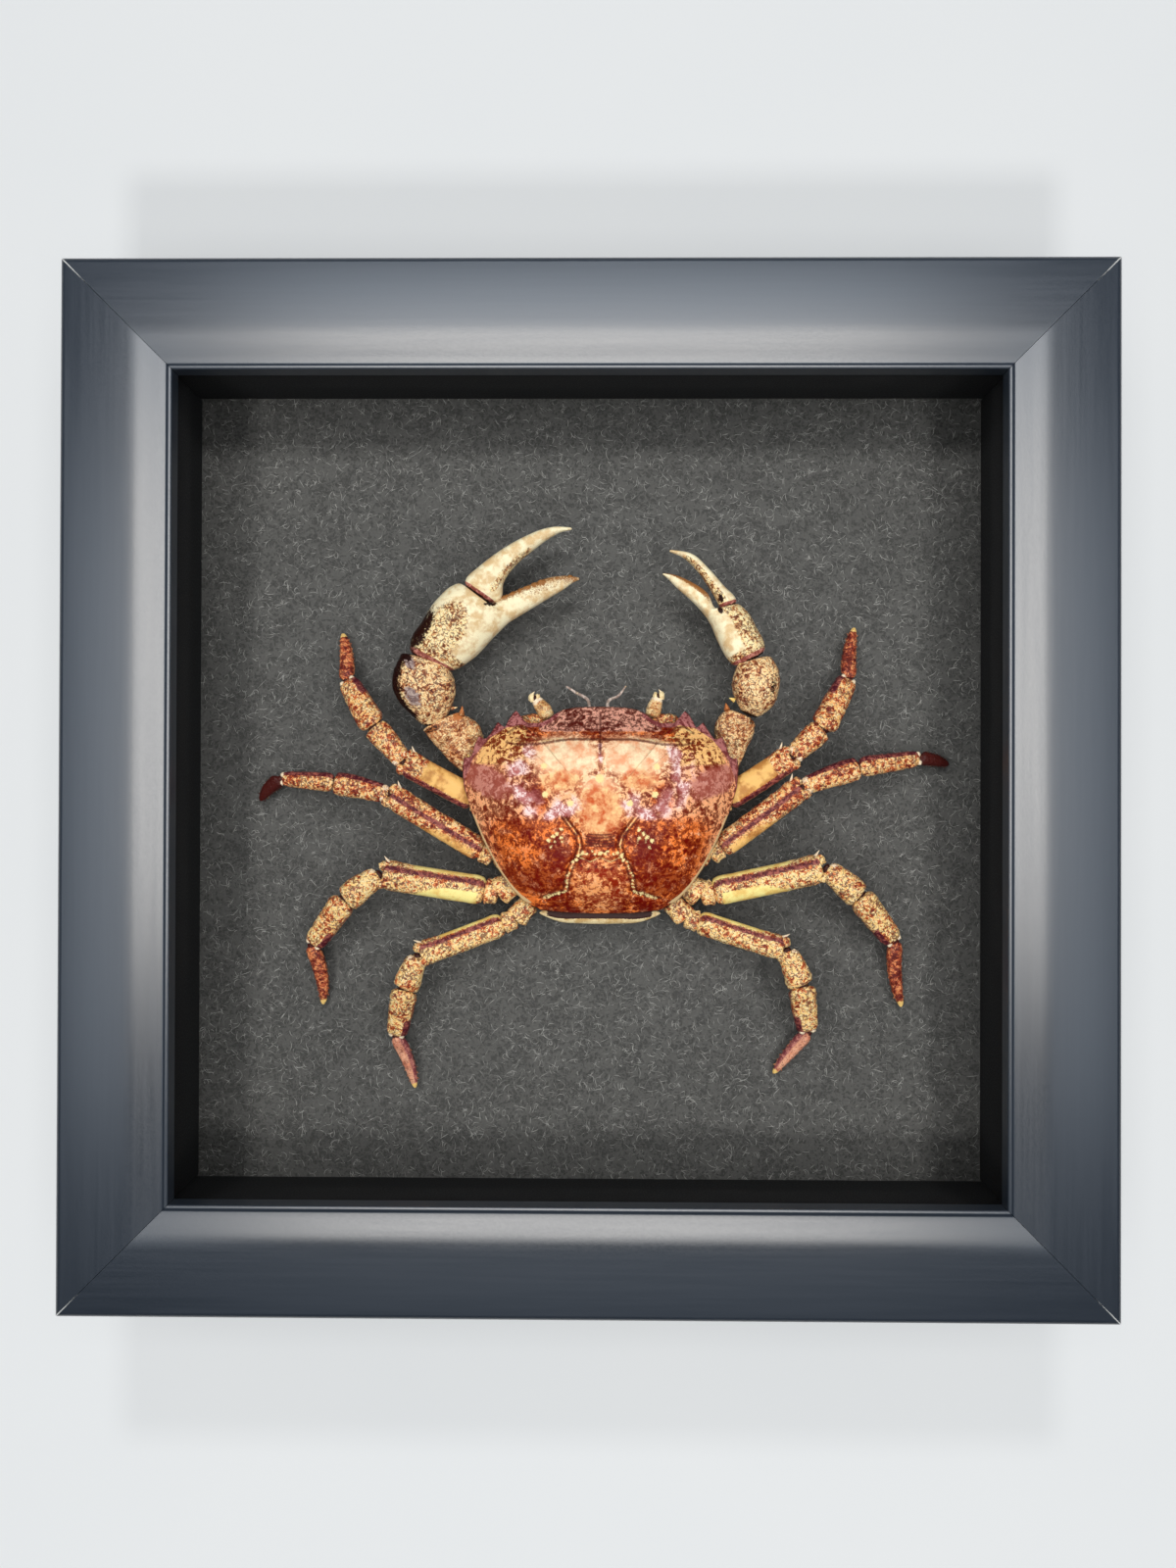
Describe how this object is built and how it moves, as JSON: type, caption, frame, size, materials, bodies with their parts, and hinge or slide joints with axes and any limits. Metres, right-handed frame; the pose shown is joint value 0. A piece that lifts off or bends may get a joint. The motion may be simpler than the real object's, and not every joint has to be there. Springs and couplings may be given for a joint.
{
  "type": "framed crab specimen",
  "caption": "Dried freshwater crab spread out flat on dark card in a square black glazed shadow box that lies, stands or hangs.",
  "frame": {"origin": "middle of the frame's back face, bottom centre of the bounding box with the frame lying on its back", "axes": "+Z out of the box towards the viewer, +Y towards the top rail, +X to the right seen from the front"},
  "size_m": [0.1844, 0.1844, 0.036],
  "materials": {
    "moulding": "satin black paint",
    "glazing": "clear, low reflection",
    "liner_card": "matt black",
    "grey_card": "matt, mottled with pale fibres",
    "fibreboard": "matt hardboard",
    "steel": "zinc plated",
    "shell": "glossy mottled red-brown",
    "leg_shell": "granular tan with dark mottling",
    "leg_tip": "satin red-brown",
    "claw_shell": "smooth ivory",
    "body_shell": "satin cream"
  },
  "bodies": {
    "root": {"rail_top": "moulding", "rail_bottom": "moulding", "rail_left": "moulding", "rail_right": "moulding", "glass": "glazing", "liner_top": "liner_card", "liner_bottom": "liner_card", "liner_left": "liner_card", "liner_right": "liner_card", "backing_card": "grey_card", "back_panel": "fibreboard", "hanger": "steel", "carapace": "shell", "thorax": "body_shell", "abdomen": "body_shell", "eyestalk_left": "body_shell", "eyestalk_right": "body_shell", "antenna_left": "body_shell", "antenna_right": "body_shell", "left_claw_merus": "leg_shell", "left_claw_carpus": "leg_shell", "left_claw_palm": "claw_shell", "left_claw_finger": "claw_shell", "right_claw_merus": "leg_shell", "right_claw_carpus": "leg_shell", "right_claw_palm": "claw_shell", "right_claw_finger": "claw_shell", "left_leg1_merus": "leg_shell", "left_leg1_carpus": "leg_shell", "left_leg1_propodus": "leg_shell", "left_leg1_dactylus": "leg_tip", "left_leg2_merus": "leg_shell", "left_leg2_carpus": "leg_shell", "left_leg2_propodus": "leg_shell", "left_leg2_dactylus": "leg_tip", "left_leg3_merus": "leg_shell", "left_leg3_carpus": "leg_shell", "left_leg3_propodus": "leg_shell", "left_leg3_dactylus": "leg_tip", "left_leg4_merus": "leg_shell", "left_leg4_carpus": "leg_shell", "left_leg4_propodus": "leg_shell", "left_leg4_dactylus": "leg_tip", "right_leg1_merus": "leg_shell", "right_leg1_carpus": "leg_shell", "right_leg1_propodus": "leg_shell", "right_leg1_dactylus": "leg_tip", "right_leg2_merus": "leg_shell", "right_leg2_carpus": "leg_shell", "right_leg2_propodus": "leg_shell", "right_leg2_dactylus": "leg_tip", "right_leg3_merus": "leg_shell", "right_leg3_carpus": "leg_shell", "right_leg3_propodus": "leg_shell", "right_leg3_dactylus": "leg_tip", "right_leg4_merus": "leg_shell", "right_leg4_carpus": "leg_shell", "right_leg4_propodus": "leg_shell", "right_leg4_dactylus": "leg_tip"}
  },
  "joints": []
}
